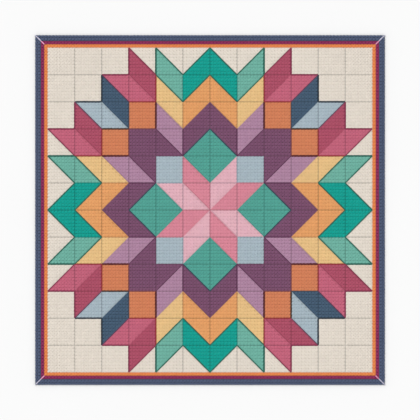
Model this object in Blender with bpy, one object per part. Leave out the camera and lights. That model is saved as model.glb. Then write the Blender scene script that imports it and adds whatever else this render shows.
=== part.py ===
"""A square cross stitch quilt, lying flat with its face up.

The face is a field of twelve by twelve patches, plain squares and squares halved by a slanting seam,
laid out as a star within a star. Three mitred bands frame it: a narrow inner strip, a narrow middle
strip and the binding, which rolls over the edge. The layers are quilted along every seam, so each patch
swells between its seams.

Metres, +Z up. The origin is at the centre of the underside.
"""

import math

import bmesh
import bpy
from mathutils import Vector

# The field
PATCH = 0.0762  # finished side of one square patch, three inches
PATCHES = 12  # patches along each side
STITCHES = 8  # cross stitches along one patch
STITCH = PATCH / STITCHES
FIELD_HALF = PATCH * PATCHES / 2

# The bands, as widths seen from above
INNER_STRIP = STITCH
MIDDLE_STRIP = STITCH
BINDING = 0.0170  # two stitches wide, with the outer one rolled over the edge
JOIN_GAP = 0.0003  # clearance between pieces that meet

# Thicknesses
SEAM_HEIGHT = 0.0040  # where the layers are sewn together
STRIP_CROWN = 0.0056  # middle of an inner or middle strip
BINDING_CROWN = 0.0060
BINDING_SHOULDER = 0.0045  # width over which the binding rises from its seam

# How a patch swells: each ring is this far in from the one before it, and this much higher
SWELL_RINGS = (
    {"inset": 0.003, "rise": 0.0010},
    {"inset": 0.006, "rise": 0.0010},
    {"inset": 0.009, "rise": 0.0006},
)

# Seams of the top left quarter, from the corner to the centre. s is a plain square, d is halved by a
# seam that falls to the right and u by one that rises to the right. The other quarters mirror it.
QUARTER_SEAMS = (
    "sssddu",
    "ssdddu",
    "sddsdu",
    "ddssdu",
    "ddddsd",
    "uuuudd",
)
MIRRORED = {"s": "s", "d": "u", "u": "d"}

ARC_STEPS = 6  # flats along a half round
WELD = 1e-7
SMOOTH_UNDER = math.radians(40)
SIDES = ("front", "right", "back", "left")

CLOTHS = {
    "patchwork_field": {"colour": (0.745, 0.658, 0.546, 1.0), "roughness": 0.90},
    "inner_strip": {"colour": (0.752, 0.231, 0.080, 1.0), "roughness": 0.88},
    "middle_strip": {"colour": (0.262, 0.027, 0.080, 1.0), "roughness": 0.88},
    "binding": {"colour": (0.056, 0.097, 0.156, 1.0), "roughness": 0.88},
}


def clear_scene():
    """Remove whatever the file opens with."""
    for obj in list(bpy.data.objects):
        bpy.data.objects.remove(obj)


def cloth_material(name):
    """A matt cloth in the colour of one kind of piece."""
    cloth = CLOTHS[name]
    material = bpy.data.materials.new(name)
    material.use_nodes = True
    shader = material.node_tree.nodes["Principled BSDF"]
    shader.inputs["Base Color"].default_value = cloth["colour"]
    shader.inputs["Roughness"].default_value = cloth["roughness"]
    shader.inputs["Metallic"].default_value = 0.0
    material.diffuse_color = cloth["colour"]
    return material


def mesh_of(shape, name):
    """Turn a finished bmesh into a mesh with its faces pointing out and its material on it."""
    bmesh.ops.recalc_face_normals(shape, faces=shape.faces)
    mesh = bpy.data.meshes.new(name)
    shape.to_mesh(mesh)
    shape.free()
    mesh.shade_smooth()
    mesh.set_sharp_from_angle(angle=SMOOTH_UNDER)
    mesh.materials.append(cloth_material(name))
    return mesh


def seam_at(column, row):
    """The seam through one patch, counted from the top left corner: s, d or u."""
    last = PATCHES - 1
    seam = QUARTER_SEAMS[min(row, last - row)][min(column, last - column)]
    if column > last - column:
        seam = MIRRORED[seam]
    if row > last - row:
        seam = MIRRORED[seam]
    return seam


def halve_patches(shape):
    """Cut each halved square along its slanting seam."""
    for face in list(shape.faces):
        centre = face.calc_center_median()
        column = int((centre.x + FIELD_HALF) / PATCH)
        row = int((FIELD_HALF - centre.y) / PATCH)
        seam = seam_at(column, row)
        if seam == "s":
            continue
        slope = -1 if seam == "d" else 1
        on_seam = [
            vert for vert in face.verts if (vert.co.x - centre.x) * (vert.co.y - centre.y) * slope > 0
        ]
        bmesh.utils.face_split(face, on_seam[0], on_seam[1])


def patchwork_mesh():
    """The quilted field: patches that swell between their seams, over a flat underside."""
    shape = bmesh.new()
    bmesh.ops.create_grid(shape, x_segments=PATCHES, y_segments=PATCHES, size=FIELD_HALF)
    bmesh.ops.translate(shape, vec=(0, 0, SEAM_HEIGHT), verts=shape.verts)
    halve_patches(shape)
    patches = list(shape.faces)
    for ring in SWELL_RINGS:
        bmesh.ops.inset_individual(
            shape, faces=patches, thickness=ring["inset"], depth=ring["rise"], use_even_offset=True
        )
    rim = [edge for edge in shape.edges if edge.is_boundary]
    skirt = bmesh.ops.extrude_edge_only(shape, edges=rim)["geom"]
    for item in skirt:
        if isinstance(item, bmesh.types.BMVert):
            item.co.z = 0.0
    hem = [item for item in skirt if isinstance(item, bmesh.types.BMEdge) and item.is_boundary]
    bmesh.ops.edgeloop_fill(shape, edges=hem)
    return mesh_of(shape, "patchwork_field")


def strip_profile(inner, outer):
    """Section of a narrow strip, as (distance from the centre, height), with a crown between its seams."""
    middle, half = (inner + outer) / 2, (outer - inner) / 2
    points = [(inner, 0.0)]
    for step in range(ARC_STEPS + 1):
        angle = math.pi * (1 - step / ARC_STEPS)
        height = SEAM_HEIGHT + (STRIP_CROWN - SEAM_HEIGHT) * math.sin(angle)
        points.append((middle + half * math.cos(angle), height))
    points.append((outer, 0.0))
    return points


def binding_profile(inner, outer):
    """Section of the binding: it rises from its seam, lies level, and rolls over the edge."""
    radius = BINDING_CROWN / 2
    points = [(inner, 0.0)]
    quarter = ARC_STEPS // 2
    for step in range(quarter + 1):
        angle = math.pi / 2 * step / quarter
        rise = (BINDING_CROWN - SEAM_HEIGHT) * math.sin(angle)
        points.append((inner + BINDING_SHOULDER * (1 - math.cos(angle)), SEAM_HEIGHT + rise))
    for step in range(ARC_STEPS + 1):
        angle = math.pi * (0.5 - step / ARC_STEPS)
        points.append((outer - radius + radius * math.cos(angle), radius + radius * math.sin(angle)))
    return points


def cut_mitre(shape, end):
    """Cut a front bar off at the corner's slant, at its left end (-1) or its right (1), and close it."""
    slant = Vector((end, 1, 0)).normalized()
    everything = list(shape.verts) + list(shape.edges) + list(shape.faces)
    cut = bmesh.ops.bisect_plane(
        shape, geom=everything, dist=WELD, plane_co=-slant * JOIN_GAP / 2, plane_no=slant, clear_outer=True
    )["geom_cut"]
    edges = [item for item in cut if isinstance(item, bmesh.types.BMEdge)]
    bmesh.ops.edgeloop_fill(shape, edges=edges)


def bar_mesh(name, profile, outer):
    """A band's front piece: its section run from side to side, mitred at both ends."""
    shape = bmesh.new()
    section = shape.faces.new([shape.verts.new((-outer, -out, height)) for out, height in profile])
    run = bmesh.ops.extrude_face_region(shape, geom=[section])["geom"]
    moved = [item for item in run if isinstance(item, bmesh.types.BMVert)]
    bmesh.ops.translate(shape, vec=(2 * outer, 0, 0), verts=moved)
    for end in (-1, 1):
        cut_mitre(shape, end)
    return mesh_of(shape, name)


def add_piece(name, mesh, turns, collection, centre):
    """Place a piece about the quilt's centre, turned by quarter turns."""
    piece = bpy.data.objects.new(name, mesh)
    piece.rotation_euler = (0, 0, turns * math.pi / 2)
    piece.parent = centre
    collection.objects.link(piece)


def build_quilt():
    """Make the field and the three bands that frame it."""
    clear_scene()
    collection = bpy.data.collections.new("cross_stitch_quilt")
    bpy.context.scene.collection.children.link(collection)
    centre = bpy.data.objects.new("quilt_centre", None)
    collection.objects.link(centre)

    add_piece("patchwork_field", patchwork_mesh(), 0, collection, centre)
    bands = (
        {"name": "inner_strip", "width": INNER_STRIP, "profile": strip_profile},
        {"name": "middle_strip", "width": MIDDLE_STRIP, "profile": strip_profile},
        {"name": "binding", "width": BINDING, "profile": binding_profile},
    )
    inner_edge = FIELD_HALF
    for band in bands:
        outer_edge = inner_edge + band["width"]
        section = band["profile"](inner_edge + JOIN_GAP, outer_edge)
        mesh = bar_mesh(band["name"], section, outer_edge)
        for turns, side in enumerate(SIDES):
            add_piece(f"{band['name']}_{side}", mesh, turns, collection, centre)
        inner_edge = outer_edge


build_quilt()
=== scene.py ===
"""Looks of a square cross stitch quilt that lies flat with its face up.

The ground cloths take the place of the solids: a pieced and quilted field, two narrow strips on each
side and the binding. On them lie the cross stitches, eight to a patch each way, back stitched outlines
and plain ditch threads along the seams, and a pale thread on each of the border's mitres.
"""

import logging
import math
from collections.abc import Callable, Iterable
from dataclasses import dataclass, field, replace
from enum import Enum

import bmesh
import bpy
import numpy as np
from mathutils import Matrix, Vector


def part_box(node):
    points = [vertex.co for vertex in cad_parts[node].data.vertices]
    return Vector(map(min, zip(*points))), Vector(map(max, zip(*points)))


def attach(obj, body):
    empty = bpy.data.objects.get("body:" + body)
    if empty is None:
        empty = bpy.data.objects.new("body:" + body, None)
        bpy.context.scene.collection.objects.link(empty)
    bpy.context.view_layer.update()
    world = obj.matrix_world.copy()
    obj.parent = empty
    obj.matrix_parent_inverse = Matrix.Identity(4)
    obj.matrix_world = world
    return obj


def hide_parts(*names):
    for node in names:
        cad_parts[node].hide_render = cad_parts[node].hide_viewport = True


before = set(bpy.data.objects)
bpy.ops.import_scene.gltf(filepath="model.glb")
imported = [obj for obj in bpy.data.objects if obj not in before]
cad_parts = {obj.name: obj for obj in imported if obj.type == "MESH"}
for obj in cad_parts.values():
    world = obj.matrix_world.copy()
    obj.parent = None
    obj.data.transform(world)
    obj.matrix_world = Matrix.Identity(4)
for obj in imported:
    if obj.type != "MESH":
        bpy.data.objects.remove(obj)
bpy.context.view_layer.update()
LOG = logging.getLogger("quilt")

PATCHES = 12  # patches along each side of the field
STITCHES = 8  # cross stitches along one patch
BORDER_ROWS = 4  # rows of cross stitches round the field: orange, crimson and two of slate
SIDES = ("front", "right", "back", "left")
BRIGHTEST = 0.92  # the most of the light that a fabric gives back, in any part of its colour

Points = np.ndarray  # an entry, or a row, for each point
Inputs = dict[str | int, object]  # another node's output, or a value, by an input's name or number


class Seam(Enum):
    """The slanting seam through a patch, as seen from above."""

    NONE = " "
    FALLING = "\\"
    RISING = "/"


class Dye(Enum):
    """Every colour of cross stitch, by its letter on the chart."""

    CREAM = "C"
    DARK_ROSE = "K"
    ROSE = "R"
    SLATE = "S"
    PALE_BLUE = "B"
    BURNT_ORANGE = "O"
    TEAL = "T"
    SEA_GREEN = "G"
    YELLOW = "Y"
    APRICOT = "A"
    PLUM = "P"
    MAUVE = "M"
    JADE = "D"
    DEEP_PINK = "N"
    PALE_PINK = "L"
    STRIP_ORANGE = "1"
    STRIP_CRIMSON = "2"
    BINDING_SLATE = "3"


@dataclass(frozen=True)
class Band:
    """One band of the border: its solids' name, its colour and its material slot."""

    name: str
    dye: Dye
    slot: str


BANDS = (
    Band("inner_strip", Dye.STRIP_ORANGE, "orange_strip"),
    Band("middle_strip", Dye.STRIP_CRIMSON, "crimson_strip"),
    Band("binding", Dye.BINDING_SLATE, "slate_binding"),
)


@dataclass(frozen=True)
class Colour:
    """A colour as seen, in 0 to 255 of red, green and blue."""

    red: int
    green: int
    blue: int

    def linear(self, gain: float = 1.0) -> tuple[float, float, float, float]:
        """The colour for a shader.

        Args:
            gain: how much brighter the surface is made than it is seen, for the light that its relief loses.

        Returns:
            Linear red, green and blue, and an alpha of 1.
        """
        parts = []
        for value in (self.red, self.green, self.blue):
            share = value / 255
            # The standard curve from a colour as seen to linear light.
            light = share / 12.92 if share <= 0.04045 else ((share + 0.055) / 1.055) ** 2.4
            parts.append(min(light * gain, BRIGHTEST))
        return (parts[0], parts[1], parts[2], 1.0)

    @property
    def paleness(self) -> float:
        """From 0 for black to 1 for white, in linear light."""
        return sum(self.linear()[:3]) / 3


DYES = {
    Dye.CREAM: Colour(214, 205, 194),
    Dye.DARK_ROSE: Colour(169, 78, 101),
    Dye.ROSE: Colour(190, 98, 121),
    Dye.SLATE: Colour(68, 91, 113),
    Dye.PALE_BLUE: Colour(161, 176, 185),
    Dye.BURNT_ORANGE: Colour(203, 125, 87),
    Dye.TEAL: Colour(7, 156, 143),
    Dye.SEA_GREEN: Colour(109, 172, 157),
    Dye.YELLOW: Colour(220, 184, 130),
    Dye.APRICOT: Colour(218, 155, 99),
    Dye.PLUM: Colour(121, 78, 107),
    Dye.MAUVE: Colour(170, 131, 157),
    Dye.JADE: Colour(81, 159, 146),
    Dye.DEEP_PINK: Colour(208, 131, 147),
    Dye.PALE_PINK: Colour(215, 169, 180),
    Dye.STRIP_ORANGE: Colour(219, 129, 74),
    Dye.STRIP_CRIMSON: Colour(137, 43, 87),
    Dye.BINDING_SLATE: Colour(76, 87, 113),
}
BACKING = Colour(226, 219, 206)


@dataclass(frozen=True)
class Outline:
    """A back stitched line: its thread's colour, and its width along the rows of crosses."""

    name: str
    colour: Colour
    width: float


INK = Outline("ink", Colour(38, 50, 60), 0.0056)
UMBER = Outline("umber", Colour(68, 50, 42), 0.0055)
GRAPHITE = Outline("graphite", Colour(72, 70, 76), 0.0032)
DUSK = Outline("dusk", Colour(92, 58, 82), 0.0045)
WINE = Outline("wine", Colour(122, 40, 70), 0.0050)
BRICK = Outline("brick", Colour(140, 48, 50), 0.0044)
LEAF = Outline("leaf", Colour(38, 96, 82), 0.0059)
MAROON = Outline("maroon", Colour(86, 36, 38), 0.0064)
COCOA = Outline("cocoa", Colour(112, 62, 70), 0.0036)
HEATHER = Outline("heather", Colour(86, 44, 74), 0.0038)
NIGHT = Outline("night", Colour(54, 66, 82), 0.0055)

# Which outline parts two colours, the first that fits. Colours that no row names meet at a plain seam.
OUTLINE_RULES = (
    {"between": "SB", "and": "C", "outline": INK},
    {"between": "B", "and": "O", "outline": UMBER},
    {"between": "S", "and": "O", "outline": GRAPHITE},
    {"between": "KR", "and": "SB", "outline": DUSK},
    {"between": "KR", "and": "C", "outline": WINE},
    {"between": "KR", "and": "YO", "outline": BRICK},
    {"between": "TG", "and": "CYA", "outline": LEAF},
    {"between": "M", "and": "O", "outline": MAROON},
    {"between": "O", "and": "P", "outline": COCOA},
    {"between": "P", "and": "M", "outline": HEATHER},
    {"between": "D", "and": "P", "outline": NIGHT},
)


@dataclass(frozen=True)
class Patch:
    """One patch: its seam, the colour to the left of the seam and the one to its right."""

    seam: Seam
    left: Dye
    right: Dye

    @classmethod
    def read(cls, word: str) -> "Patch":
        """Read a patch from the chart.

        Args:
            word: one colour's letter, or a seam's mark with its left colour and its right one.

        Returns:
            The patch.
        """
        if len(word) == 1:
            return cls(Seam.NONE, Dye(word), Dye(word))
        return cls(Seam(word[0]), Dye(word[1]), Dye(word[2]))

    def mirrored(self, across: bool, down: bool) -> "Patch":
        """The patch as its mirror image.

        Args:
            across: mirror it left to right.
            down: mirror it top to bottom.

        Returns:
            The mirrored patch.
        """
        if self.seam is Seam.NONE:
            return self
        seam, left, right = self.seam, self.left, self.right
        if across:
            left, right = right, left
        if across != down:
            seam = Seam.RISING if seam is Seam.FALLING else Seam.FALLING
        return Patch(seam, left, right)

    def swapped(self, pairs: tuple[str, ...]) -> "Patch":
        """The patch with some colours exchanged, if a seam halves it.

        Args:
            pairs: the letters of each two colours that change places.

        Returns:
            The patch after the exchange.
        """
        if self.seam is Seam.NONE:
            return self
        letters = [self.left.value, self.right.value]
        for pair in pairs:
            letters = [pair[1 - pair.index(one)] if one in pair else one for one in letters]
        return Patch(self.seam, Dye(letters[0]), Dye(letters[1]))

    def edge(self, side: str) -> Dye:
        """The colour along one edge of the patch.

        Args:
            side: top, bottom, left or right.

        Returns:
            The colour there.
        """
        if side in ("left", "right"):
            return self.left if side == "left" else self.right
        over_is_left = self.seam is Seam.RISING
        if side == "top":
            return self.left if over_is_left else self.right
        return self.right if over_is_left else self.left


class Layout:
    """The patchwork: one quarter, charted, and its mirror images."""

    QUARTER = (
        r"C   C   C   \KC \GC /CT",
        r"C   C   \SR \RK \YG /TA",
        r"C   \KB \BS O   \MY /AP",
        r"\CR \RK O   P   \PM /PD",
        r"\CG \GY \YM \MP B   \ND",
        r"/CT /TA /AP /PD \DL \LN",
    )
    # Colours that change places in a mirrored quarter, by (right, low): the middle star turns like a
    # pinwheel, and the last corner's square is set the other way round.
    SWAPS = {
        (False, False): (),
        (True, False): ("NL",),
        (False, True): ("NL",),
        (True, True): ("KR", "BS"),
    }

    def __init__(self) -> None:
        """Lay the patches out, row by row from the top left."""
        quarter = [[Patch.read(word) for word in line.split()] for line in self.QUARTER]
        last = PATCHES - 1
        self.rows: list[list[Patch]] = []
        for row in range(PATCHES):
            made = []
            for column in range(PATCHES):
                right, low = column > last - column, row > last - row
                patch = quarter[min(row, last - row)][min(column, last - column)]
                made.append(patch.mirrored(right, low).swapped(self.SWAPS[right, low]))
            self.rows.append(made)

    def at(self, column: int, row: int) -> Patch:
        """The patch in a column and a row, counted from the top left."""
        return self.rows[row][column]

    def slopes(self) -> Points:
        """For each row and column, 1 where the seam rises, -1 where it falls and 0 where there is none."""
        value = {Seam.NONE: 0, Seam.FALLING: -1, Seam.RISING: 1}
        return np.array([[value[patch.seam] for patch in row] for row in self.rows])


def outline_between(first: Dye, second: Dye) -> Outline | None:
    """Find the back stitched outline where two colours meet.

    Args:
        first: the colour on one side.
        second: the colour on the other side.

    Returns:
        The outline, or None for a plain seam.
    """
    for rule in OUTLINE_RULES:
        one, other = first.value, second.value
        if (one in rule["between"] and other in rule["and"]) or (
            other in rule["between"] and one in rule["and"]
        ):
            return rule["outline"]
    return None


@dataclass
class Lie:
    """How the cloth lies: it turns a place on the flat chart into a point in space.

    A place is (u, v), in metres from the middle along the cloth. It is also the place seen from above,
    except on the binding's outer edge, where the cloth runs on round the roll.
    """

    slopes: Points
    seam_height: float = 0.0040  # where the layers are sewn together
    swell: float = 0.0026  # how much higher the middle of a patch lies than its seams
    swell_reach: float = 0.018  # how far from its seams a patch goes on rising
    swell_power: float = 0.75  # under 1, a patch rises more steeply near its seams
    shoulder: float = 0.0045  # width over which the binding rises from its seam
    ground_sink: float = 0.0012  # how far the cloth lies under the quilt's surface, for the crosses' depth
    patch: float = field(init=False)
    field_half: float = field(init=False)
    strip_edges: tuple[float, ...] = field(init=False)  # where the bands start, from the middle
    outer: float = field(init=False)
    crowns: tuple[float, ...] = field(init=False)  # how high each band reaches

    def __post_init__(self) -> None:
        """Read the sizes from the frame."""
        self.field_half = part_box("patchwork_field")[1].x
        self.patch = 2 * self.field_half / PATCHES
        names = [f"{band.name}_front" for band in BANDS]
        edges = [-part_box(name)[0].y for name in names]
        self.strip_edges = (self.field_half, edges[0], edges[1])
        self.outer = edges[2]
        self.crowns = tuple(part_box(name)[1].z for name in names)

    @property
    def pitch(self) -> float:
        """The side of one cross stitch."""
        return self.patch / STITCHES

    @property
    def roll(self) -> float:
        """Radius of the binding's rolled edge."""
        return self.crowns[2] / 2

    @property
    def roll_start(self) -> float:
        """Distance from the middle at which the binding starts to roll over."""
        return self.outer - self.roll

    def turn(self, reach: Points) -> Points:
        """Angle that the binding has rolled through at a distance from the middle."""
        return np.clip((reach - self.roll_start) / self.roll, 0.0, math.pi)

    def field_height(self, u: Points, v: Points) -> Points:
        """Height of the quilted field, which swells between its seams.

        Args:
            u: how far to the right of the middle each place is.
            v: how far above the middle it is.

        Returns:
            The height at each place.
        """
        column = np.clip(np.floor((u + self.field_half) / self.patch), 0, PATCHES - 1).astype(int)
        row = np.clip(np.floor((self.field_half - v) / self.patch), 0, PATCHES - 1).astype(int)
        x = u + self.field_half - (column + 0.5) * self.patch
        y = self.field_half - v - (row + 0.5) * self.patch
        away = self.patch / 2 - np.maximum(np.abs(x), np.abs(y))
        slope = self.slopes[row, column]
        slant = np.abs(x + slope * y) / math.sqrt(2)
        away = np.where(slope == 0, away, np.minimum(away, slant))
        share = np.clip(away / self.swell_reach, 0.0, 1.0)
        return self.seam_height + self.swell * np.sin(math.pi / 2 * share**self.swell_power)

    def border_height(self, reach: Points) -> Points:
        """Height of the strips and the binding.

        Args:
            reach: the distance of each place from the middle, along the farther of its two axes.

        Returns:
            The height at each place.
        """
        height = np.full_like(reach, self.seam_height)
        ends = (*self.strip_edges[1:], self.outer)
        for start, end, crown in zip(self.strip_edges[:2], ends[:2], self.crowns[:2]):
            share = np.clip((reach - (start + end) / 2) / ((end - start) / 2), -1.0, 1.0)
            arch = self.seam_height + (crown - self.seam_height) * np.sqrt(1 - share**2)
            height = np.where((reach >= start) & (reach <= end), arch, height)
        rising = np.clip(1 - (reach - self.strip_edges[2]) / self.shoulder, 0.0, 1.0)
        level = self.seam_height + (self.crowns[2] - self.seam_height) * np.sqrt(1 - rising**2)
        binding = level - self.roll * (1 - np.cos(self.turn(reach)))
        return np.where(reach > self.strip_edges[2], binding, height)

    def place(self, u: Points, v: Points, lift: Points) -> Points:
        """Points in space of places on the chart.

        Args:
            u: how far to the right of the middle each place is.
            v: how far above the middle it is.
            lift: how far off the quilt's surface the point is.

        Returns:
            One row of x, y and z for each place.
        """
        reach = np.maximum(np.abs(u), np.abs(v))
        height = np.where(reach <= self.field_half, self.field_height(u, v), self.border_height(reach))
        seen = []
        for along in (u, v):
            rolled = self.turn(np.abs(along))
            flat = np.minimum(np.abs(along), self.roll_start)
            seen.append(np.sign(along) * (flat + (self.roll + lift) * np.sin(rolled)))
        return np.stack([seen[0], seen[1], height + lift * np.cos(self.turn(reach))], axis=-1)


@dataclass
class Wiring:
    """Short ways to add and join nodes in one tree."""

    tree: bpy.types.NodeTree

    def feed(self, node: bpy.types.Node, inputs: Inputs) -> None:
        """Give a node's inputs their links and values.

        Args:
            node: the node.
            inputs: what each input gets.
        """
        for socket, source in inputs.items():
            if isinstance(source, bpy.types.NodeSocket):
                self.tree.links.new(source, node.inputs[socket])
            else:
                node.inputs[socket].default_value = source

    def node(self, kind: str, inputs: Inputs | None = None, **settings: object) -> bpy.types.Node:
        """Add a node.

        Args:
            kind: its type.
            inputs: what its inputs get.
            **settings: its properties.

        Returns:
            The node.
        """
        made = self.tree.nodes.new(kind)
        for name, value in settings.items():
            setattr(made, name, value)
        self.feed(made, inputs or {})
        return made

    def math(self, operation: str, *sources: object) -> bpy.types.NodeSocket:
        """A math node's result."""
        return self.node("ShaderNodeMath", dict(enumerate(sources)), operation=operation).outputs[0]

    def spread(self, source: object, low: float, high: float) -> bpy.types.NodeSocket:
        """A value from 0 to 1, spread between two limits."""
        inputs = {"Value": source, "To Min": low, "To Max": high}
        return self.node("ShaderNodeMapRange", inputs).outputs["Result"]

    def noise(self, place: object, scale: float, detail: float) -> bpy.types.NodeSocket:
        """A noise texture's value at a place."""
        inputs = {"Vector": place, "Scale": scale, "Detail": detail}
        return self.node("ShaderNodeTexNoise", inputs).outputs["Fac"]

    def brighten(self, colour: object, value: object) -> bpy.types.NodeSocket:
        """A colour times a value."""
        inputs = {0: colour, "Scale": value}
        return self.node("ShaderNodeVectorMath", inputs, operation="SCALE").outputs[0]


@dataclass(frozen=True)
class Fabric:
    """A kind of fabric: how deep its relief is in metres, and how much sheen it has."""

    relief: float
    sheen: float = 0.05


STITCHING_YARN = Fabric(relief=0.00035)
OUTLINE_THREAD = Fabric(relief=0.0003)
COTTON = Fabric(relief=0.0002)


class Finishes:
    """Makes the shared shader groups once, and each material from them."""

    YARN_UV = "strand"
    TONE = "tone"

    # How much brighter than it is seen a thread is dyed, for the light that its relief loses
    OUTLINE_GAIN = 1.10
    YARN_GAIN = 1.07

    # The ground cloth's brightness against its yarn's: under black yarn, what the yarn's strongest part of
    # red, green and blue adds, and what its paleness adds
    CLOTH_UNDER_BLACK = 0.33
    CLOTH_BY_STRONGEST = 0.95
    CLOTH_BY_PALENESS = 0.5

    # Below, a noise is its scale and its detail, and other pairs are what 0 and 1 become.
    # Wear
    WASHED_NOISE = (7.0, 3.0)
    WASHED_LIGHT = (0.96, 1.04)
    RUBBED_NOISE = (160.0, 2.0)
    RUBBED_RIM = 0.0050  # how far in from the quilt's outer edge it is rubbed
    RUBBED_LIGHT = 0.10  # how much brighter the rim is there, at most

    # Yarn: its plies, with painted shade in the grooves between them, and the fibres that run along them
    TWIST = 0.0135  # length of yarn in which its plies turn once
    PLIES = 4.0
    PLY_SLANT = 1.6  # plies crossed from one side of the thread to the other
    # Painted shade in the grooves between the plies, and a little painted light on their crests
    PLY_PAINTED_SHADE = (0.88, 1.05)
    PLY_RELIEF = 0.7  # share of the relief that is the plies', and the rest is the fibres'
    FIBRE_STRETCH = (5.0, 26.0, 1.0)
    FIBRE_NOISE = (2.0, 2.0)
    FIBRE_LIGHT = (0.90, 1.10)
    YARN_ROUGHNESS = (0.72, 0.95)

    # Weave
    WEAVE_PITCH = 0.0011  # distance between threads
    # Painted shade where the threads go under: those places are half as bright as the threads' tops
    WEAVE_PAINTED_SHADE = (0.5, 1.0)
    WEAVE_NOISE = (500.0, 2.0)
    UNEVEN_LIGHT = (0.94, 1.06)
    WEAVE_ROUGHNESS = (0.95, 0.82)

    # All fabrics
    BUMP_STRENGTH = 0.7
    SHEEN_ROUGHNESS = 0.5
    SPECULAR = 0.15

    def __init__(self, outer: float) -> None:
        """Build the groups.

        Args:
            outer: distance from the middle to the quilt's outer edge, where it wears.
        """
        self.outer = outer
        self.wear = self._wear_group()
        self.yarn = self._yarn_group()
        self.weave = self._weave_group()
        self.backing = self._material("backing_cotton", self.weave, BACKING.linear(), COTTON)

    def _new_group(self, name: str, extra: tuple[str, ...] = ()) -> tuple[Wiring, bpy.types.NodeSocket]:
        """Start a group that takes a tint and gives a colour.

        Args:
            name: the group's name.
            extra: the names of its further outputs, which are values.

        Returns:
            The group's wiring, and the tint.
        """
        tree = bpy.data.node_groups.new(name, "ShaderNodeTree")
        sockets = {"Tint": ("INPUT", "NodeSocketColor"), "Color": ("OUTPUT", "NodeSocketColor")}
        sockets |= {value: ("OUTPUT", "NodeSocketFloat") for value in extra}
        for socket, (way, kind) in sockets.items():
            tree.interface.new_socket(name=socket, in_out=way, socket_type=kind)
        wires = Wiring(tree)
        wires.node("NodeGroupOutput", name="out")
        return wires, wires.node("NodeGroupInput", name="in").outputs["Tint"]

    def _wear_group(self) -> bpy.types.NodeTree:
        """Uneven fading all over, and a paler, rubbed rim along the quilt's outer edge.

        Returns:
            The group.
        """
        wires, tint = self._new_group("washed_and_rubbed")
        place = wires.node("ShaderNodeTexCoord").outputs["Object"]
        across, up = wires.node("ShaderNodeSeparateXYZ", {0: place}).outputs[:2]
        reach = wires.math("MAXIMUM", wires.math("ABSOLUTE", across), wires.math("ABSOLUTE", up))
        inputs = {"Value": reach, "From Min": self.outer - self.RUBBED_RIM, "From Max": self.outer}
        rim = wires.node("ShaderNodeMapRange", inputs, interpolation_type="SMOOTHSTEP").outputs["Result"]
        rubbed = wires.math("MULTIPLY", rim, wires.noise(place, *self.RUBBED_NOISE))
        washed = wires.spread(wires.noise(place, *self.WASHED_NOISE), *self.WASHED_LIGHT)
        worn = wires.math("ADD", washed, wires.math("MULTIPLY", rubbed, self.RUBBED_LIGHT))
        wires.feed(wires.tree.nodes["out"], {"Color": wires.brighten(tint, worn)})
        return wires.tree

    def _worn(self, wires: Wiring, colour: object) -> bpy.types.NodeSocket:
        """A colour after wear, in the group that has this wiring."""
        return wires.node("ShaderNodeGroup", {"Tint": colour}, node_tree=self.wear).outputs["Color"]

    def _yarn_group(self) -> bpy.types.NodeTree:
        """Twisted plies along each thread, with painted shade in the grooves between them, its fibres and
        its own tone.

        Returns:
            The group.
        """
        wires, tint = self._new_group("twisted_yarn", ("Roughness", "Height"))
        strand = wires.node("ShaderNodeUVMap", uv_map=self.YARN_UV).outputs[0]
        along, across = wires.node("ShaderNodeSeparateXYZ", {0: strand}).outputs[:2]
        twisted = wires.math("MULTIPLY", along, self.PLIES)
        phase = wires.math("ADD", twisted, wires.math("MULTIPLY", across, self.PLY_SLANT))
        wave = wires.math("SINE", wires.math("MULTIPLY", phase, 2 * math.pi))
        ply = wires.math("ADD", wires.math("MULTIPLY", wave, 0.5), 0.5)
        stretch = wires.node("ShaderNodeMapping", {"Vector": strand, "Scale": self.FIBRE_STRETCH})
        fibre = wires.noise(stretch.outputs[0], *self.FIBRE_NOISE)
        fibre_light = wires.spread(fibre, *self.FIBRE_LIGHT)
        # The painted shade between the plies, times the fibres' uneven tone
        light = wires.math("MULTIPLY", wires.spread(ply, *self.PLY_PAINTED_SHADE), fibre_light)
        tone = wires.node("ShaderNodeAttribute", attribute_name=self.TONE).outputs["Fac"]
        colour = wires.brighten(tint, wires.math("MULTIPLY", light, tone))
        fibre_relief = wires.math("MULTIPLY", fibre, 1 - self.PLY_RELIEF)
        finish = {
            "Color": self._worn(wires, colour),
            "Roughness": wires.spread(fibre, *self.YARN_ROUGHNESS),
            "Height": wires.math("ADD", wires.math("MULTIPLY", ply, self.PLY_RELIEF), fibre_relief),
        }
        wires.feed(wires.tree.nodes["out"], finish)
        return wires.tree

    def _weave_group(self) -> bpy.types.NodeTree:
        """A plain weave of even threads, over and under, with painted shade where they go under.

        Returns:
            The group.
        """
        wires, tint = self._new_group("plain_weave", ("Roughness", "Height"))
        place = wires.node("ShaderNodeTexCoord").outputs["Object"]
        waves = []
        for axis in wires.node("ShaderNodeSeparateXYZ", {0: place}).outputs[:2]:
            waves.append(wires.math("SINE", wires.math("MULTIPLY", axis, math.pi / self.WEAVE_PITCH)))
        # The places where the threads go under get painted shade
        over = wires.spread(wires.math("MULTIPLY", *waves), *self.WEAVE_PAINTED_SHADE)
        uneven = wires.spread(wires.noise(place, *self.WEAVE_NOISE), *self.UNEVEN_LIGHT)
        colour = wires.brighten(tint, wires.math("MULTIPLY", over, uneven))
        finish = {
            "Color": self._worn(wires, colour),
            "Roughness": wires.spread(over, *self.WEAVE_ROUGHNESS),
            "Height": over,
        }
        wires.feed(wires.tree.nodes["out"], finish)
        return wires.tree

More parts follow.
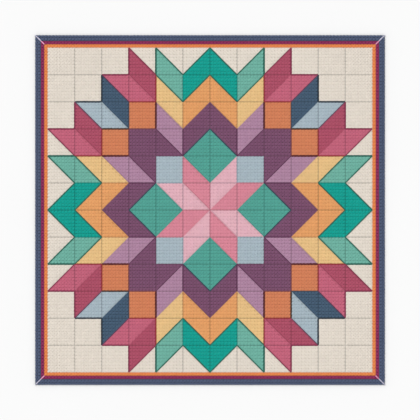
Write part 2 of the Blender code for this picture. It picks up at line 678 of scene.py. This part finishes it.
    def _material(
        self,
        name: str,
        group: bpy.types.NodeTree,
        tint: tuple[float, float, float, float],
        fabric: Fabric,
    ) -> bpy.types.Material:
        """Make a fabric material.

        Args:
            name: the material's name.
            group: the group that gives its colour, roughness and relief.
            tint: its colour before the group changes it, in linear light.
            fabric: the kind of fabric.

        Returns:
            The material.
        """
        made = bpy.data.materials.new(name)
        made.use_nodes = True
        made.diffuse_color = tint
        wires = Wiring(made.node_tree)
        surface = wires.node("ShaderNodeGroup", {"Tint": tint}, node_tree=group).outputs
        relief = {"Strength": self.BUMP_STRENGTH, "Distance": fabric.relief, "Height": surface["Height"]}
        finish = {
            "Base Color": surface["Color"],
            "Roughness": surface["Roughness"],
            "Normal": wires.node("ShaderNodeBump", relief).outputs[0],
            "Sheen Weight": fabric.sheen,
            "Sheen Roughness": self.SHEEN_ROUGHNESS,
            "Specular IOR Level": self.SPECULAR,
        }
        wires.feed(made.node_tree.nodes["Principled BSDF"], finish)
        return made

    def stitch(self, dye: Dye) -> bpy.types.Material:
        """The yarn of one colour of cross stitch."""
        tint = DYES[dye].linear(self.YARN_GAIN)
        return self._material(f"yarn_{dye.name.lower()}", self.yarn, tint, STITCHING_YARN)

    def line(self, outline: Outline) -> bpy.types.Material:
        """The thread of one outline."""
        tint = outline.colour.linear(self.OUTLINE_GAIN)
        return self._material(f"thread_{outline.name}", self.yarn, tint, OUTLINE_THREAD)

    def cloth(self, dye: Dye) -> bpy.types.Material:
        """The ground cloth under one colour of cross stitch, darker against its yarn the darker that is.

        Args:
            dye: the colour of the crosses on it.

        Returns:
            The material.
        """
        yarn = DYES[dye]
        strongest = max(yarn.linear()[:3])
        gain = self.CLOTH_UNDER_BLACK + self.CLOTH_BY_STRONGEST * strongest
        gain += self.CLOTH_BY_PALENESS * yarn.paleness
        return self._material(f"cloth_{dye.name.lower()}", self.weave, yarn.linear(gain), COTTON)


def mesh_of(shape: bmesh.types.BMesh, name: str) -> bpy.types.Mesh:
    """Turn a bmesh into a mesh.

    Args:
        shape: the finished bmesh, which is freed.
        name: the mesh's name.

    Returns:
        The mesh.
    """
    mesh = bpy.data.meshes.new(name)
    shape.to_mesh(mesh)
    shape.free()
    return mesh


def linked(name: str, data: bpy.types.ID) -> bpy.types.Object:
    """Make an object and link it to the scene.

    Args:
        name: the object's name.
        data: its mesh, light or camera.

    Returns:
        The object, at the origin.
    """
    made = bpy.data.objects.new(name, data)
    bpy.context.scene.collection.objects.link(made)
    return made


def finished(
    name: str, mesh: bpy.types.Mesh, materials: Iterable[bpy.types.Material]
) -> bpy.types.Object:
    """Make a piece of a mesh, smooth it, dress it and let it ride on the quilt.

    Args:
        name: the piece's name.
        mesh: its mesh, already in place.
        materials: its materials, in the order of the mesh's material numbers.

    Returns:
        The piece.
    """
    mesh.name = name
    piece = linked(name, mesh)
    mesh.shade_smooth()
    for material in materials:
        mesh.materials.append(material)
    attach(piece, "root")
    LOG.info("%s: %d faces", name, len(mesh.polygons))
    return piece


@dataclass
class ThreadShape:
    """One thread's form: a half round that swells from pinched ends, with fewer than twenty faces."""

    section_points: int  # points round its half circle
    stations: tuple[float, ...] = (0.0, 0.28, 0.72, 1.0)  # places along it that have such points
    end_height: float = 0.45  # how high its ends are, against its middle
    end_dip: float = 0.0004  # how far its ends lie under its base
    along: Points = field(init=False)
    across: Points = field(init=False)
    up: Points = field(init=False)
    is_end: Points = field(init=False)
    faces: list[list[int]] = field(init=False)

    def __post_init__(self) -> None:
        """Model the thread and keep its points and faces."""
        shape = bmesh.new()
        section = []
        for number in range(self.section_points):
            angle = math.pi * number / (self.section_points - 1)
            section.append(shape.verts.new((0.0, math.cos(angle), math.sin(angle))))
        last = shape.faces.new(section)
        # Each step after the first leaves the face that it starts from inside the thread, unseen.
        for before, after in zip(self.stations, self.stations[1:]):
            made = bmesh.ops.extrude_face_region(shape, geom=[last], use_keep_orig=before == 0.0)["geom"]
            last = next(item for item in made if isinstance(item, bmesh.types.BMFace))
            bmesh.ops.translate(shape, vec=(after - before, 0, 0), verts=last.verts)
        bmesh.ops.recalc_face_normals(shape, faces=shape.faces)
        shape.verts.index_update()
        points = np.array([vert.co for vert in shape.verts])
        self.along, self.across, self.up = points.T
        self.is_end = np.isclose(self.along, 0.0) | np.isclose(self.along, 1.0)
        self.faces = [[vert.index for vert in face.verts] for face in shape.faces]
        shape.free()


@dataclass(frozen=True)
class Stitch:
    """A kind of stitch: its thread's form and how it lies on the cloth."""

    shape: ThreadShape
    width: float
    height: float
    base: float  # how far off the quilt's surface its underside lies
    over: float = 0.0  # how much further its middle is raised
    end_width: float = 0.90  # how wide its ends are, against its middle


@dataclass(frozen=True)
class Unevenness:
    """How much one thread usually differs from the next."""

    width: float = 0.03  # a share, as the height and the tone are
    height: float = 0.04
    tone: float = 0.015
    sway: float = 0.00009  # how far its middle lies to one side, in metres


@dataclass
class Threads:
    """Threads of one colour, joined into one mesh."""

    lie: Lie
    chance: np.random.Generator
    uneven: Unevenness = Unevenness()
    points: list[Points] = field(default_factory=list)
    tones: list[Points] = field(default_factory=list)
    strand_places: list[Points] = field(default_factory=list)
    corners: list[Points] = field(default_factory=list)
    face_sizes: list[Points] = field(default_factory=list)
    count: int = 0

    def add(self, starts: Points, ends: Points, stitch: Stitch, tone: float = 1.0) -> None:
        """Lay threads between places on the chart.

        Args:
            starts: the (u, v) that each thread starts at.
            ends: the (u, v) that each ends at.
            stitch: the kind of stitch.
            tone: how bright they are, before each one's own small difference.
        """
        number = len(starts)
        if not number:
            return
        shape = stitch.shape
        run = ends - starts
        length = np.linalg.norm(run, axis=1, keepdims=True)
        beside = np.stack([-run[:, 1], run[:, 0]], axis=1) / length
        loose = self.chance.normal(0.0, 1.0, (number, 3))
        width = stitch.width / 2 * (1 + self.uneven.width * loose[:, :1])
        height = stitch.height * (1 + self.uneven.height * loose[:, 1:2])
        pinch_width = np.where(shape.is_end, stitch.end_width, 1.0)
        pinch_height = np.where(shape.is_end, shape.end_height, 1.0)
        sway = np.where(shape.is_end, 0.0, self.uneven.sway) * loose[:, 2:3]
        sideways = shape.across * pinch_width * width + sway
        place = starts[:, None, :] + run[:, None, :] * shape.along[None, :, None]
        place = place + beside[:, None, :] * sideways[:, :, None]
        middle = np.where(shape.is_end, -shape.end_dip, stitch.over)
        lift = stitch.base + middle + shape.up * pinch_height * height
        self.points.append(self.lie.place(place[..., 0], place[..., 1], lift).reshape(-1, 3))
        own_tone = tone * (1 + self.uneven.tone * self.chance.normal(0.0, 1.0, (number, 1)))
        self.tones.append(np.broadcast_to(own_tone, lift.shape).ravel())
        ply_start = self.chance.random((number, 1))
        along = shape.along * length / Finishes.TWIST + ply_start
        around = np.broadcast_to(shape.across / 2 + 0.5, lift.shape)
        self.strand_places.append(np.stack([along, around], axis=-1).reshape(-1, 2))
        size = len(shape.along)
        flat = np.concatenate([np.array(face) for face in shape.faces])
        shift = (self.count + size * np.arange(number))[:, None]
        self.corners.append((flat[None, :] + shift).ravel())
        self.face_sizes.append(np.tile([len(face) for face in shape.faces], number))
        self.count += size * number

    def mesh(self) -> bpy.types.Mesh:
        """Join the threads.

        Returns:
            A mesh that also holds each thread's tone and its place along the yarn.
        """
        mesh = bpy.data.meshes.new("threads")
        points, corners = np.concatenate(self.points), np.concatenate(self.corners)
        sizes = np.concatenate(self.face_sizes)
        mesh.vertices.add(len(points))
        mesh.vertices.foreach_set("co", points.astype(np.float32).ravel())
        mesh.loops.add(len(corners))
        mesh.loops.foreach_set("vertex_index", corners.astype(np.int32))
        mesh.polygons.add(len(sizes))
        mesh.polygons.foreach_set("loop_start", (np.cumsum(sizes) - sizes).astype(np.int32))
        mesh.update(calc_edges=True)
        tone = mesh.attributes.new(Finishes.TONE, "FLOAT", "POINT")
        tone.data.foreach_set("value", np.concatenate(self.tones).astype(np.float32))
        strand = mesh.uv_layers.new(name=Finishes.YARN_UV)
        places = np.concatenate(self.strand_places)[corners]
        strand.data.foreach_set("uv", places.astype(np.float32).ravel())
        mesh.validate()
        return mesh


@dataclass
class GroundCloth:
    """The cloths under the stitches: the pieced field, the strips and the binding."""

    lie: Lie
    layout: Layout
    finishes: Finishes
    underside: float = 0.0002  # how far off the ground the underside lies
    underside_dip: float = 0.0008  # how much further it is drawn up at the field's seams
    join_gap: float = 0.0003  # clearance between pieces that meet
    foot_sink: float = 0.0001  # how far the binding's cloth lies inside its roll at the foot
    section_steps: int = 10  # flats across a band
    weld: float = 1e-7
    sharp_over: float = math.radians(50)  # faces that meet at more than this have a sharp edge
    faces_down: float = -0.9  # a face belongs to the underside if its normal's z is less

    def field(self) -> bpy.types.Object:
        """Make the pieced and quilted field, swelling on both faces between its seams.

        Returns:
            The piece.
        """
        shape = bmesh.new()
        steps = PATCHES * STITCHES
        bmesh.ops.create_grid(shape, x_segments=steps, y_segments=steps, size=self.lie.field_half)
        dyes = [dye for dye in DYES if dye not in {band.dye for band in BANDS}]
        self._colour_patches(shape, dyes)
        upper = list(shape.faces)
        made = bmesh.ops.extrude_face_region(shape, geom=upper, use_keep_orig=True)["geom"]
        lower = {item for item in made if isinstance(item, bmesh.types.BMVert)}
        for face in shape.faces:
            if all(vert in lower for vert in face.verts):
                face.material_index = len(dyes)
        top = [vert for vert in shape.verts if vert not in lower]
        self._lay(top, lambda u, v: self.lie.place(u, v, np.full_like(u, -self.lie.ground_sink))[:, 2])
        self._lay(list(lower), self._underside_height)
        bmesh.ops.recalc_face_normals(shape, faces=shape.faces)
        materials = [self.finishes.cloth(dye) for dye in dyes] + [self.finishes.backing]
        piece = finished("patchwork_cloth", mesh_of(shape, "field"), materials)
        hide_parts("patchwork_field")
        return piece

    def _underside_height(self, u: Points, v: Points) -> Points:
        """The underside's height: flat on the ground, and drawn up a little at the quilted seams."""
        risen = (self.lie.field_height(u, v) - self.lie.seam_height) / self.lie.swell
        return self.underside + self.underside_dip * (1 - risen) ** 2

    def _lay(self, verts: list[bmesh.types.BMVert], height: Callable[[Points, Points], Points]) -> None:
        """Raise vertices to their heights.

        Args:
            verts: the vertices.
            height: the function that gives the height at each u and v.
        """
        flat = np.array([vert.co.xy for vert in verts])
        for vert, z in zip(verts, height(flat[:, 0], flat[:, 1])):
            vert.co.z = z

    def _colour_patches(self, shape: bmesh.types.BMesh, dyes: list[Dye]) -> None:
        """Number each face by its cloth, and split those that a slanting seam crosses.

        Args:
            shape: the field, with one face to a cross stitch.
            dyes: the cloths' colours, in the order of their numbers.
        """
        half, patch_size, pitch = self.lie.field_half, self.lie.patch, self.lie.pitch
        for face in list(shape.faces):
            centre = face.calc_center_median()
            column, row = int((centre.x + half) / patch_size), int((half - centre.y) / patch_size)
            patch = self.layout.at(column, row)
            x = centre.x + half - (column + 0.5) * patch_size
            y = half - centre.y - (row + 0.5) * patch_size
            # Positive to the right of the seam.
            beyond = x - y if patch.seam is Seam.FALLING else x + y
            face.material_index = dyes.index(patch.right if beyond > 0 else patch.left)
            if patch.seam is Seam.NONE or abs(beyond) > pitch / 2:
                continue
            slope = 1 if patch.seam is Seam.RISING else -1
            on_seam = [
                vert for vert in face.verts if (vert.co.x - centre.x) * (vert.co.y - centre.y) * slope > 0
            ]
            other, _ = bmesh.utils.face_split(face, on_seam[0], on_seam[1])
            for part in (face, other):
                is_right = part.calc_center_median().x > centre.x
                part.material_index = dyes.index(patch.right if is_right else patch.left)

    def border(self) -> dict[Band, list[bpy.types.Object]]:
        """Make the strips and the binding, side by side round the field.

        Returns:
            The four pieces of each band.
        """
        ends = (*self.lie.strip_edges[1:], self.lie.roll_start + math.pi * self.lie.roll)
        made: dict[Band, list[bpy.types.Object]] = {}
        for band, start, end in zip(BANDS, self.lie.strip_edges, ends):
            face = self.finishes.cloth(band.dye)
            materials = [face, face if band.name == "binding" else self.finishes.backing]
            made[band] = []
            for turns, side in enumerate(SIDES):
                mesh = self._bar(self._section(start + self.join_gap, end), turns)
                piece = finished(f"{band.name}_{side}_cloth", mesh, materials)
                mesh.set_sharp_from_angle(angle=self.sharp_over)
                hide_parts(f"{band.name}_{side}")
                made[band].append(piece)
        return made

    def _section(self, start: float, end: float) -> list[tuple[float, float]]:
        """Draw a band's section, from its inner seam round to its foot.

        Args:
            start: distance from the middle to its inner seam.
            end: distance to its other end, along the cloth.

        Returns:
            Points as (distance from the middle, height).
        """
        reach = np.linspace(start, end, self.section_steps + 1)
        under = np.clip((self.lie.turn(reach) - math.pi / 2) / (math.pi / 2), 0.0, 1.0)
        lift = -self.lie.ground_sink * (1 - under) - self.foot_sink * under
        placed = self.lie.place(np.zeros_like(reach), reach, lift)
        points = [(start, self.underside)]
        points += [(float(out), float(max(z, self.underside))) for _, out, z in placed]
        if end <= self.lie.outer:
            points.append((end, self.underside))
        return points

    def _bar(self, section: list[tuple[float, float]], turns: int) -> bpy.types.Mesh:
        """Run a section along the front, mitre both ends, and turn it to its side of the quilt.

        Args:
            section: points as (distance from the middle, height).
            turns: how many quarter turns the side lies from the front.

        Returns:
            The band's mesh on that side.
        """
        outer = self.lie.outer
        shape = bmesh.new()
        face = shape.faces.new([shape.verts.new((-outer, -out, z)) for out, z in section])
        made = bmesh.ops.extrude_face_region(shape, geom=[face], use_keep_orig=True)["geom"]
        moved = [item for item in made if isinstance(item, bmesh.types.BMVert)]
        bmesh.ops.translate(shape, vec=(2 * outer, 0, 0), verts=moved)
        for end in (-1, 1):
            slant = Vector((end, 1, 0)).normalized()
            everything = list(shape.verts) + list(shape.edges) + list(shape.faces)
            cut = bmesh.ops.bisect_plane(
                shape,
                geom=everything,
                dist=self.weld,
                plane_co=-slant * self.join_gap / 2,
                plane_no=slant,
                clear_outer=True,
            )["geom_cut"]
            edges = [item for item in cut if isinstance(item, bmesh.types.BMEdge)]
            bmesh.ops.edgeloop_fill(shape, edges=edges)
        turned = Matrix.Rotation(turns * math.pi / 2, 3, "Z")
        bmesh.ops.rotate(shape, cent=(0, 0, 0), matrix=turned, verts=shape.verts)
        bmesh.ops.recalc_face_normals(shape, faces=shape.faces)
        for face in shape.faces:
            face.material_index = int(face.normal.z < self.faces_down)
        return mesh_of(shape, "bar")


class Embroidery:
    """Every stitch on the quilt: crosses, back stitched outlines, ditch threads and mitre threads."""

    SLOTS = {band.dye: band.slot for band in BANDS}
    RING_DYES = (Dye.STRIP_ORANGE, Dye.STRIP_CRIMSON, Dye.BINDING_SLATE, Dye.BINDING_SLATE)
    DITCH_TONE = 0.67  # brightness of a ditch thread against its yarn's
    SLANT_SHARE = 0.72  # width of a slanting line, whose stitches are longer, against a straight one

    # Crosses, by their yarn's paleness: black ones would be 0 and white ones 1
    BLACK_ENDS = 0.54  # how wide black ones' ends would be, against their middles
    WHITE_ENDS = 0.76  # what is added to that for white ones
    FULLNESS = 0.6  # how much wider white ones would be than black ones, against the width below
    USUAL_PALENESS = 0.2  # paleness of the crosses that have the width below
    CELL_GAP = 0.0008  # how much further black ones would stay inside their cell than white ones
    TOUCHING_PALENESS = 0.83  # paleness of the crosses that reach the rows above and below
    SIDE_OVERLAP = 0.0004  # how much further every cross reaches to the left and right

    # Sizes of the threads
    CROSS_WIDTH = 0.0053
    HALF_WIDTH = 0.0050
    SEAM_WIDTH = 0.0036
    DITCH_WIDTH = 0.0034
    YARN_HEIGHT = 0.0010
    LINE_HEIGHT = 0.0016
    CROSS_RISE = 0.0007  # how much further the upper leg of a cross is raised in its middle
    SEAM_RISE = 0.0005
    NARROW_ENDS = 0.6  # how wide the ends are beside a slanting seam, against the middle
    SEAM_BASE = -0.0005  # how far off the quilt's surface outlines and ditch threads start

    MITRE = Outline("pale_lilac", Colour(186, 184, 204), 0.0036)
    MITRE_PINK = Outline("pale_pink", Colour(222, 150, 184), 0.0036)
    MITRE_SLOTS = {MITRE: "slate_binding", MITRE_PINK: "crimson_strip"}
    SEED = 12

    def __init__(self, lie: Lie, layout: Layout, finishes: Finishes) -> None:
        """Set out the kinds of stitch.

        Args:
            lie: how the cloth lies.
            layout: the patchwork.
            finishes: the finishes that the threads get.
        """
        self.lie, self.layout, self.finishes = lie, layout, finishes
        self.chance = np.random.default_rng(self.SEED)
        round_thread, plain_thread = ThreadShape(5), ThreadShape(4)
        self.line_shape = ThreadShape(5, end_height=0.7, end_dip=0.0003)
        ditch_shape = ThreadShape(4, (0.0, 0.5, 1.0), end_height=0.8, end_dip=0.0)
        tall, ground = self.YARN_HEIGHT, -lie.ground_sink
        self.under_leg = Stitch(plain_thread, self.CROSS_WIDTH, tall, ground)
        self.upper_leg = Stitch(round_thread, self.CROSS_WIDTH, tall, ground, self.CROSS_RISE)
        self.half_leg = Stitch(plain_thread, self.HALF_WIDTH, tall, ground, 0.0, self.NARROW_ENDS)
        self.seam_leg = Stitch(
            round_thread, self.SEAM_WIDTH, tall, ground, self.SEAM_RISE, self.NARROW_ENDS
        )
        self.ditch = Stitch(ditch_shape, self.DITCH_WIDTH, tall, self.SEAM_BASE)
        self.dyed: dict[Dye, Threads] = {dye: Threads(lie, self.chance) for dye in DYES}
        self.outlined: dict[Outline, Threads] = {}

    def _corner(self, column: int, row: int) -> Points:
        """The (u, v) of a stitch hole, counted in stitches from the field's top left corner."""
        half, pitch = self.lie.field_half, self.lie.pitch
        return np.array([column * pitch - half, half - row * pitch])

    def _line_threads(self, outline: Outline) -> Threads:
        """The threads of one outline."""
        return self.outlined.setdefault(outline, Threads(self.lie, self.chance))

    def _line_stitch(self, outline: Outline, share: float = 1.0) -> Stitch:
        """The back stitch of one outline, at a share of its width, lying over the ends of the crosses."""
        return Stitch(self.line_shape, outline.width * share, self.LINE_HEIGHT, self.SEAM_BASE)

    def crosses(self) -> None:
        """Lay a cross in every cell, with its halves in two colours where a slanting seam crosses it."""
        cells = PATCHES * STITCHES
        whole: dict[Dye, list[tuple[int, int]]] = {dye: [] for dye in DYES}
        for row in range(-BORDER_ROWS, cells + BORDER_ROWS):
            for column in range(-BORDER_ROWS, cells + BORDER_ROWS):
                ring = max(-row, -column, row - cells + 1, column - cells + 1)
                if ring > 0:
                    whole[self.RING_DYES[ring - 1]].append((column, row))
                    continue
                patch = self.layout.at(column // STITCHES, row // STITCHES)
                x, y = column % STITCHES, row % STITCHES
                beyond = x - y if patch.seam is Seam.FALLING else x + y - STITCHES + 1
                if patch.seam is Seam.NONE or beyond:
                    whole[patch.right if beyond > 0 else patch.left].append((column, row))
                else:
                    self._seam_cell(column, row, patch)
        for dye, places in whole.items():
            corner = np.array([self._corner(column, row) for column, row in places])
            paleness = DYES[dye].paleness
            ends = self.BLACK_ENDS + self.WHITE_ENDS * paleness
            fullness = 1 + self.FULLNESS * (paleness - self.USUAL_PALENESS)
            gap = self.CELL_GAP * (self.TOUCHING_PALENESS - paleness)
            left = gap - self.SIDE_OVERLAP
            right, top, low = self.lie.pitch - left, -gap, gap - self.lie.pitch
            for start, end, leg in ((top, low, self.under_leg), (low, top, self.upper_leg)):
                drawn = replace(leg, end_width=ends, width=leg.width * fullness)
                self.dyed[dye].add(corner + (left, start), corner + (right, end), drawn)

    def _seam_cell(self, column: int, row: int, patch: Patch) -> None:
        """Lay three quarter stitches on both sides of a slanting seam.

        Args:
            column: the cell's column, counted in stitches.
            row: its row.
            patch: the patch that it lies in.
        """
        falling = patch.seam is Seam.FALLING
        first_row, last_row = (row, row + 1) if falling else (row + 1, row)
        start, end = self._corner(column, first_row), self._corner(column + 1, last_row)
        middle = (start + end) / 2
        to_right = np.array([1.0, 1.0 if falling else -1.0])
        for dye, way in ((patch.right, to_right), (patch.left, -to_right)):
            tip = middle + way * self.lie.pitch / 2
            self.dyed[dye].add(tip[None], middle[None], self.half_leg)
            aside = way / math.sqrt(2) * self.seam_leg.width / 2
            self.dyed[dye].add((start + aside)[None], (end + aside)[None], self.seam_leg)

    def _run(self, start: tuple[int, int], end: tuple[int, int], first: Dye, second: Dye) -> None:
        """Stitch a seam: a back stitched outline where the colours call for one, or a ditch thread.

        Args:
            start: the stitch hole that the seam starts at, as its column and row.
            end: the hole that it ends at.
            first: the colour on one side.
            second: the colour on the other side.
        """
        outline = outline_between(first, second)
        slanting = start[0] != end[0] and start[1] != end[1]
        steps = np.linspace(0.0, 1.0, STITCHES + 1)[:, None]
        begins = self._corner(*start)
        holes = begins + (self._corner(*end) - begins) * steps
        if outline:
            stitch = self._line_stitch(outline, self.SLANT_SHARE if slanting else 1.0)
            self._line_threads(outline).add(holes[:-1], holes[1:], stitch)
        elif not slanting:
            darker = min(first, second, key=lambda dye: DYES[dye].paleness)
            self.dyed[darker].add(holes[:-1], holes[1:], self.ditch, self.DITCH_TONE)

    def seams(self) -> None:
        """Stitch every seam between patches and through them."""
        for row in range(PATCHES):
            for column in range(PATCHES):
                patch = self.layout.at(column, row)
                left, top = column * STITCHES, row * STITCHES
                right, low = left + STITCHES, top + STITCHES
                if column + 1 < PATCHES:
                    beside = self.layout.at(column + 1, row).edge("left")
                    self._run((right, top), (right, low), patch.edge("right"), beside)
                if row + 1 < PATCHES:
                    below = self.layout.at(column, row + 1).edge("top")
                    self._run((left, low), (right, low), patch.edge("bottom"), below)
                if patch.seam is Seam.FALLING:
                    self._run((left, top), (right, low), patch.left, patch.right)
                elif patch.seam is Seam.RISING:
                    self._run((left, low), (right, top), patch.left, patch.right)

    def mitres(self) -> None:
        """Lay pale threads on each corner's mitre: pink on the crimson strip, then lilac on the binding."""
        start, seam = self.lie.strip_edges[1:]
        edge = self.lie.roll_start + self.lie.roll * math.pi / 2
        for outline, reach in (
            (self.MITRE_PINK, np.array([start, seam])),
            (self.MITRE, np.linspace(seam, edge, 3)),
        ):
            for across in (-1, 1):
                for up in (-1, 1):
                    holes = np.stack([reach * across, reach * up], axis=1)
                    self._line_threads(outline).add(holes[:-1], holes[1:], self._line_stitch(outline))

    def pieces(self) -> dict[str, list[bpy.types.Object]]:
        """Join the threads of each colour into a piece.

        Returns:
            The pieces that lie on each material slot.
        """
        made: dict[str, list[bpy.types.Object]] = {}
        for dye, threads in self.dyed.items():
            slot = self.SLOTS.get(dye, "patchwork")
            name = f"stitches_{dye.name.lower()}"
            piece = finished(name, threads.mesh(), [self.finishes.stitch(dye)])
            made.setdefault(slot, []).append(piece)
        for outline, threads in self.outlined.items():
            slot = self.MITRE_SLOTS.get(outline, "patchwork")
            name = f"outline_{outline.name}"
            piece = finished(name, threads.mesh(), [self.finishes.line(outline)])
            made.setdefault(slot, []).append(piece)
        return made


@dataclass
class Studio:
    """The pale floor, the soft light and the camera over the quilt."""

    picture_pixels: float = 420.0  # width of the whole picture
    quilt_pixels: float = 350.0  # width of the quilt in it
    lens: float = 300.0
    sensor: float = 36.0
    view_end: float = 100.0  # farthest that the camera sees
    floor_size: float = 14.0  # half its side
    paint_noise: tuple[float, float] = (3.0, 2.0)  # its scale and its detail
    paint_shades: tuple[float, float] = (0.795, 0.805)
    world_strength: float = 0.80
    key_strength: float = 1.48
    key_tilt: float = math.radians(30)
    key_turn: float = math.radians(35)
    key_spread: float = math.radians(22)

    def floor(self) -> None:
        """A plain floor, which isn't part of the quilt."""
        shape = bmesh.new()
        bmesh.ops.create_grid(shape, x_segments=1, y_segments=1, size=self.floor_size)
        mesh = mesh_of(shape, "floor")
        mesh.materials.append(self._floor_material())
        made = linked("floor", mesh)

    def _floor_material(self) -> bpy.types.Material:
        """Make a matt, pale paint that is very slightly uneven.

        Returns:
            The material.
        """
        material = bpy.data.materials.new("floor_paint")
        material.use_nodes = True
        wires = Wiring(material.node_tree)
        place = wires.node("ShaderNodeTexCoord").outputs["Object"]
        shade = wires.spread(wires.noise(place, *self.paint_noise), *self.paint_shades)
        finish = {"Base Color": shade, "Roughness": 1.0, "Specular IOR Level": 0.0}
        wires.feed(material.node_tree.nodes["Principled BSDF"], finish)
        return material

    def lights(self) -> None:
        """An even white surround and one soft key light."""
        world = bpy.data.worlds.new("surround")
        world.use_nodes = True
        background = world.node_tree.nodes["Background"]
        background.inputs["Color"].default_value = (1.0, 1.0, 1.0, 1.0)
        background.inputs["Strength"].default_value = self.world_strength
        bpy.context.scene.world = world
        sun = bpy.data.lights.new("key", "SUN")
        sun.energy = self.key_strength
        sun.angle = self.key_spread
        made = linked("key", sun)
        made.rotation_euler = (-self.key_tilt, 0.0, self.key_turn)

    def camera(self, width: float) -> None:
        """Look straight down on the quilt, framed as in the photograph.

        Args:
            width: the quilt's width in metres.
        """
        data = bpy.data.cameras.new("camera")
        data.lens, data.sensor_width = self.lens, self.sensor
        data.clip_end = self.view_end
        seen = width * self.picture_pixels / self.quilt_pixels
        made = linked("camera", data)
        made.location = (0.0, 0.0, seen * self.lens / self.sensor)
        bpy.context.scene.camera = made
        bpy.context.scene.view_settings.view_transform = "Standard"


def main() -> None:
    """Build the quilt's looks."""
    logging.basicConfig(level=logging.INFO, format="%(name)s: %(message)s")
    layout = Layout()
    lie = Lie(layout.slopes())
    finishes = Finishes(lie.outer)
    ground = GroundCloth(lie, layout, finishes)
    cloth, border = ground.field(), ground.border()
    embroidery = Embroidery(lie, layout, finishes)
    embroidery.crosses()
    embroidery.seams()
    embroidery.mitres()
    stitches = embroidery.pieces()
    studio = Studio()
    studio.floor()
    studio.lights()
    studio.camera(2 * lie.outer)


if __name__ == "__main__":
    main()
